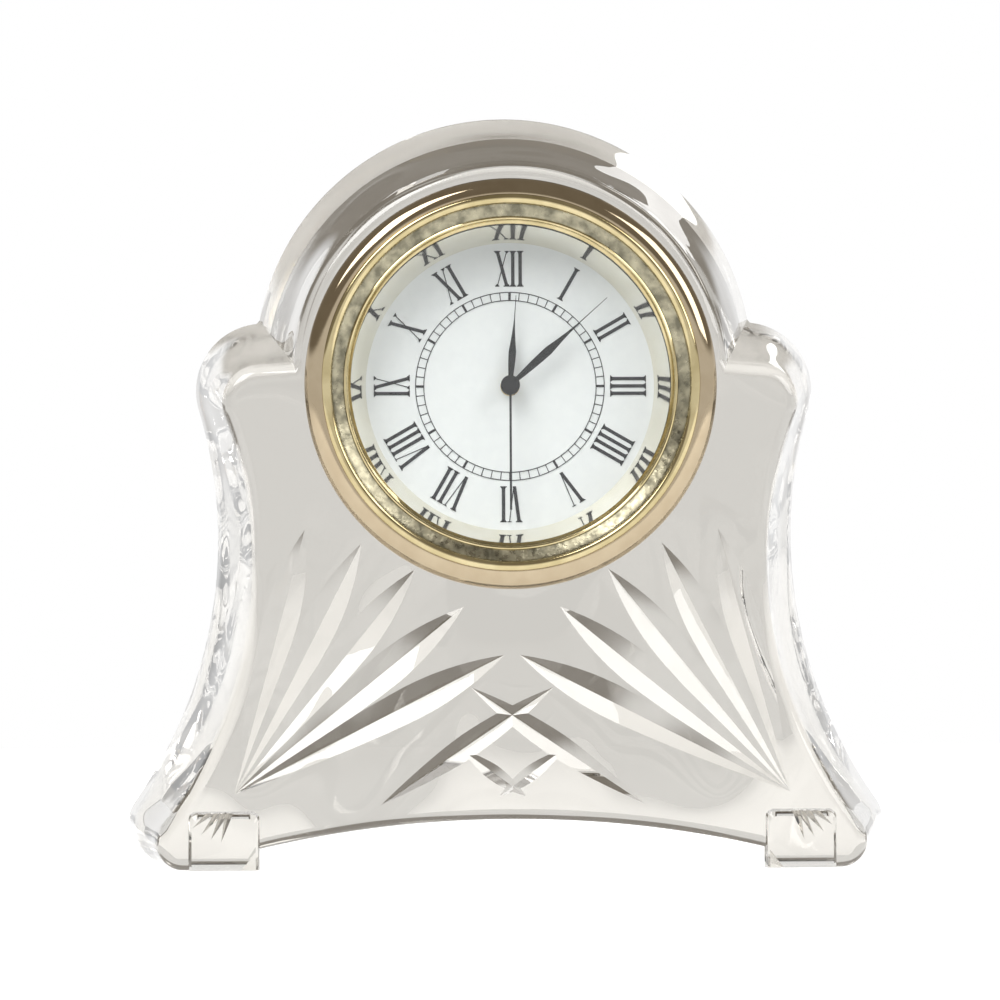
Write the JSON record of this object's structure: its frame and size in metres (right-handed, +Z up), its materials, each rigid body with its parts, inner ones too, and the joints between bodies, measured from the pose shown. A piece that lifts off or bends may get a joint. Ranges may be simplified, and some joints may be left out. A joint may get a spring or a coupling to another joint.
{
  "type": "desk clock",
  "caption": "Desk clock: an arched cut-crystal body on two feet holding a round push-in quartz insert with a gilt bezel, Roman dial and three hands.",
  "frame": {"origin": "middle of the whole object's bounding box, on the surface it stands on", "axes": "+X to the right of someone who reads the dial, -Y out of the dial, +Z up"},
  "size_m": [0.08, 0.0302, 0.079],
  "materials": {
    "crystal": "polished lead crystal with polished mitre cuts",
    "gilt": "polished gold plate",
    "lens_glass": "clear polished mineral glass",
    "seal_rubber": "matte",
    "cream_ring": "polished, pale cream metallised",
    "dial_white": "satin cool white",
    "print_black": "printed ink",
    "hand_black": "satin black lacquer",
    "nylon": "translucent nylon",
    "ring_plastic": "moulded",
    "plate_brass": "brushed",
    "wheel_brass": "fine turned",
    "steel": "fine brushed",
    "board_green": "solder mask",
    "can_metal": "satin can",
    "coil_copper": "enamelled copper wire",
    "magnet": "ground magnet with steel arbor",
    "cell_steel": "bright button cell",
    "cover_steel": "spun satin"
  },
  "bodies": {
    "crystal": {"crystal_body": "crystal"},
    "insert": {"bezel": "gilt", "lens": "lens_glass", "lens_seal": "seal_rubber", "reflector_ring": "cream_ring", "dial": "dial_white", "dial_numerals": "print_black", "dial_track": "print_black", "case_cup": "gilt", "grip_ring": "nylon", "movement_ring": "ring_plastic", "main_plate": "plate_brass", "train_bridge": "plate_brass", "bridge_screws": "steel", "circuit_board": "board_green", "quartz_can": "can_metal", "coil": "coil_copper", "coil_core": "steel", "stator": "steel", "battery_cell": "cell_steel", "battery_strap": "wheel_brass", "back_cover": "cover_steel", "cover_screws": "steel"},
    "seconds": {"second_hand": "hand_black", "second_wheel": "wheel_brass"},
    "centre": {"centre_wheel": "wheel_brass"},
    "third": {"third_wheel": "wheel_brass"},
    "fifth": {"fifth_wheel": "wheel_brass"},
    "motor": {"rotor": "magnet"},
    "minutes": {"minute_hand": "hand_black", "cannon_pinion": "steel"},
    "hours": {"hour_hand": "hand_black", "hour_wheel": "wheel_brass"},
    "motion": {"minute_wheel": "wheel_brass"},
    "setting": {"setting_stem": "steel", "setting_knob": "gilt"},
    "hatch": {"battery_hatch": "cover_steel"}
  },
  "joints": [
    {"name": "insert_slide", "type": "slide", "parent": "crystal", "child": "insert", "axis": [0, -1, 0], "range_m": [0, 0.015]},
    {"name": "seconds_spin", "type": "hinge", "parent": "insert", "child": "seconds", "pos_m": [0, -0.006, 0.0481], "axis": [0, 1, 0], "continuous": true},
    {"name": "centre_spin", "type": "hinge", "parent": "insert", "child": "centre", "pos_m": [0, -0.006, 0.0481], "axis": [0, 1, 0], "continuous": true},
    {"name": "third_spin", "type": "hinge", "parent": "insert", "child": "third", "pos_m": [-0.00709, -0.006, 0.04685], "axis": [0, 1, 0], "continuous": true},
    {"name": "fifth_spin", "type": "hinge", "parent": "insert", "child": "fifth", "pos_m": [0.0036, -0.006, 0.05434], "axis": [0, 1, 0], "continuous": true},
    {"name": "rotor_spin", "type": "hinge", "parent": "insert", "child": "motor", "pos_m": [0.00748, -0.006, 0.0521], "axis": [0, 1, 0], "continuous": true},
    {"name": "setting_spin", "type": "hinge", "parent": "insert", "child": "setting", "pos_m": [0, -0.006, 0.03754], "axis": [0, 1, 0], "continuous": true},
    {"name": "minutes_spin", "type": "hinge", "parent": "insert", "child": "minutes", "pos_m": [0, -0.006, 0.0481], "axis": [0, 1, 0], "continuous": true},
    {"name": "hours_spin", "type": "hinge", "parent": "insert", "child": "hours", "pos_m": [0, -0.006, 0.0481], "axis": [0, 1, 0], "continuous": true},
    {"name": "minute_wheel_spin", "type": "hinge", "parent": "insert", "child": "motion", "pos_m": [0, -0.006, 0.04282], "axis": [0, 1, 0], "continuous": true},
    {"name": "hatch_turn", "type": "hinge", "parent": "insert", "child": "hatch", "pos_m": [0.00753, -0.006, 0.04108], "axis": [0, 1, 0], "range_deg": [-45, 0]}
  ],
  "couplings": [
    {"joint": "centre_spin", "follows": "seconds_spin", "ratio": 0.016667},
    {"joint": "third_spin", "follows": "seconds_spin", "ratio": -0.13333},
    {"joint": "fifth_spin", "follows": "seconds_spin", "ratio": -5},
    {"joint": "rotor_spin", "follows": "seconds_spin", "ratio": 30},
    {"joint": "minutes_spin", "follows": "setting_spin", "ratio": 1},
    {"joint": "minute_wheel_spin", "follows": "setting_spin", "ratio": -0.33333},
    {"joint": "hours_spin", "follows": "setting_spin", "ratio": 0.083333}
  ]
}
